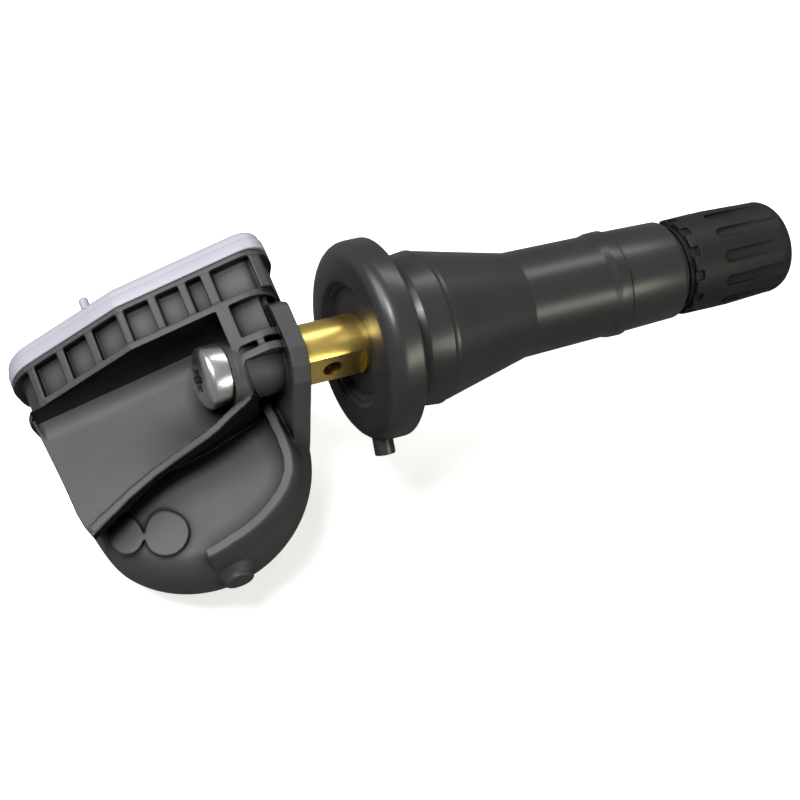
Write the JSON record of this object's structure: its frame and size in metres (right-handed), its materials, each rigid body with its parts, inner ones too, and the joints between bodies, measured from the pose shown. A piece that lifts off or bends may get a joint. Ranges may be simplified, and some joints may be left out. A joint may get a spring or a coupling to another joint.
{
  "type": "tyre pressure sensor",
  "caption": "Snap-in tyre pressure sensor: a sealed sensor case with a domed battery end, screwed to the brass stem of a rubber tyre valve with a screw-on cap.",
  "frame": {"origin": "centre of the rubber flange's sealing face, where the valve's axis passes through the rim hole", "axes": "+X along the valve from the case to the cap, +Y from the case's dome towards its lid, +Z to the case's upper, sloping face"},
  "size_m": [0.0778, 0.0289, 0.0291],
  "materials": {
    "case_plastic": "moulded glass-filled nylon, satin black",
    "lid_plastic": "moulded nylon, light grey",
    "board": "green solder mask",
    "cell_steel": "nickel-plated steel",
    "plated_strip": "tinned bronze strip",
    "chip_resin": "moulded package resin",
    "silicone": "soft silicone",
    "ferrite": "sintered ferrite",
    "copper_wire": "enamelled copper wire",
    "chip_ceramic": "fired ceramic",
    "screw_steel": "bright stainless",
    "stem_brass": "turned brass",
    "valve_rubber": "satin dark grey rubber",
    "core_seal": "red sealing plastic",
    "seal_rubber": "black rubber",
    "spring_steel": "drawn spring wire",
    "cap_plastic": "moulded plastic, satin black"
  },
  "bodies": {
    "root": {"sensor_housing": "case_plastic", "housing_lid": "lid_plastic", "circuit_board": "board", "coin_cell": "cell_steel", "battery_tab_positive": "plated_strip", "battery_tab_negative": "plated_strip", "pressure_chip": "chip_resin", "port_gasket": "silicone", "wake_coil_core": "ferrite", "wake_coil_winding": "copper_wire", "transmit_antenna": "plated_strip", "crystal_can": "cell_steel", "chip_capacitors": "chip_ceramic", "mounting_screw": "screw_steel", "valve_stem": "stem_brass", "rubber_valve_body": "valve_rubber", "core_barrel": "stem_brass", "core_barrel_seal": "core_seal", "core_spring": "spring_steel"},
    "cap_carrier": {"cap_seal": "seal_rubber"},
    "cap": {"valve_cap": "cap_plastic"},
    "pin": {"core_pin": "stem_brass", "core_cup": "stem_brass", "core_cup_seal": "seal_rubber"}
  },
  "joints": [
    {"name": "cap_travel", "type": "slide", "parent": "root", "child": "cap_carrier", "axis": [1, 0, 0], "range_m": [0, 0.00556]},
    {"name": "cap_turn", "type": "hinge", "parent": "cap_carrier", "child": "cap", "pos_m": [0.04, 0, 0], "axis": [1, 0, 0], "range_deg": [0, 2520]},
    {"name": "core_push", "type": "slide", "parent": "root", "child": "pin", "axis": [-1, 0, 0], "range_m": [0, 0.0013], "stiffness_N_per_m": 300, "springref_m": -0.002, "deforming": ["core_spring"]}
  ],
  "couplings": [
    {"joint": "cap_turn", "follows": "cap_travel", "rad_per_m": 7913.3}
  ]
}
